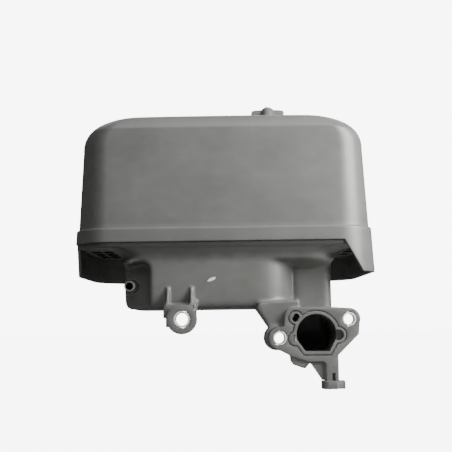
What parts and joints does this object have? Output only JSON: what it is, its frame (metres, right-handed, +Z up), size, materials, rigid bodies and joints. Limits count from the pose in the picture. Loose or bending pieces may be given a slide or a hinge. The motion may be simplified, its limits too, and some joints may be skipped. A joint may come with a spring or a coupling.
{
  "type": "air filter housing",
  "caption": "Engine air filter housing with deep cover, foam-wrapped paper element on a stud, lower bowl and elbow to a two-bolt carburettor flange.",
  "frame": {"origin": "centre of the carburettor bore on the flange's face", "axes": "+Y from the carburettor into the housing, +Z up along the cover stud, +X to the right when facing the flange"},
  "size_m": [0.2459, 0.201, 0.2457],
  "materials": {
    "plastic": "dark grey moulded plastic with a soft sheen",
    "zinc_steel": "zinc plated steel",
    "rubber": "black rubber",
    "end_cap": "cast polyurethane, brick red",
    "filter_paper": "resin treated filter paper",
    "foam": "open cell foam"
  },
  "bodies": {
    "base": {"elbow_body": "plastic", "seat_plate": "plastic", "plate_gasket": "rubber", "plate_screw_1": "zinc_steel", "plate_screw_2": "zinc_steel", "plate_screw_3": "zinc_steel", "plate_screw_4": "zinc_steel", "flange_collar_left": "zinc_steel", "flange_collar_right": "zinc_steel", "bracket_collar": "zinc_steel", "filter_stud": "zinc_steel", "stud_lock_nut": "zinc_steel"},
    "filter_element": {"element_seal": "rubber", "element_bottom_cap": "end_cap", "element_paper": "filter_paper", "element_core": "zinc_steel", "element_top_cap": "end_cap", "foam_sleeve": "foam"},
    "element_nut_washer": {"element_washer": "zinc_steel"},
    "element_nut": {"element_wing_nut": "zinc_steel"},
    "cover": {"cover": "plastic", "cover_grommet": "rubber"},
    "cover_nut_washer": {"cover_washer": "zinc_steel"},
    "cover_nut": {"cover_wing_nut": "plastic"}
  },
  "joints": [
    {"name": "element_lift", "type": "slide", "parent": "base", "child": "filter_element", "axis": [0, 0, 1], "range_m": [0, 0.13]},
    {"name": "cover_lift", "type": "slide", "parent": "filter_element", "child": "cover", "axis": [0, 0, 1], "range_m": [0, 0.15]},
    {"name": "element_nut_rise", "type": "slide", "parent": "filter_element", "child": "element_nut_washer", "axis": [0, 0, 1], "range_m": [0, 0.012]},
    {"name": "element_nut_turn", "type": "hinge", "parent": "element_nut_washer", "child": "element_nut", "pos_m": [-0.03, 0.098, 0.15], "axis": [0, 0, 1], "range_deg": [0, 4321]},
    {"name": "cover_nut_rise", "type": "slide", "parent": "cover", "child": "cover_nut_washer", "axis": [0, 0, 1], "range_m": [0, 0.012]},
    {"name": "cover_nut_turn", "type": "hinge", "parent": "cover_nut_washer", "child": "cover_nut", "pos_m": [-0.03, 0.098, 0.187], "axis": [0, 0, 1], "range_deg": [0, 4321]}
  ],
  "couplings": [
    {"joint": "element_nut_turn", "follows": "element_nut_rise", "rad_per_m": 6283.2},
    {"joint": "cover_nut_turn", "follows": "cover_nut_rise", "rad_per_m": 6283.2}
  ]
}
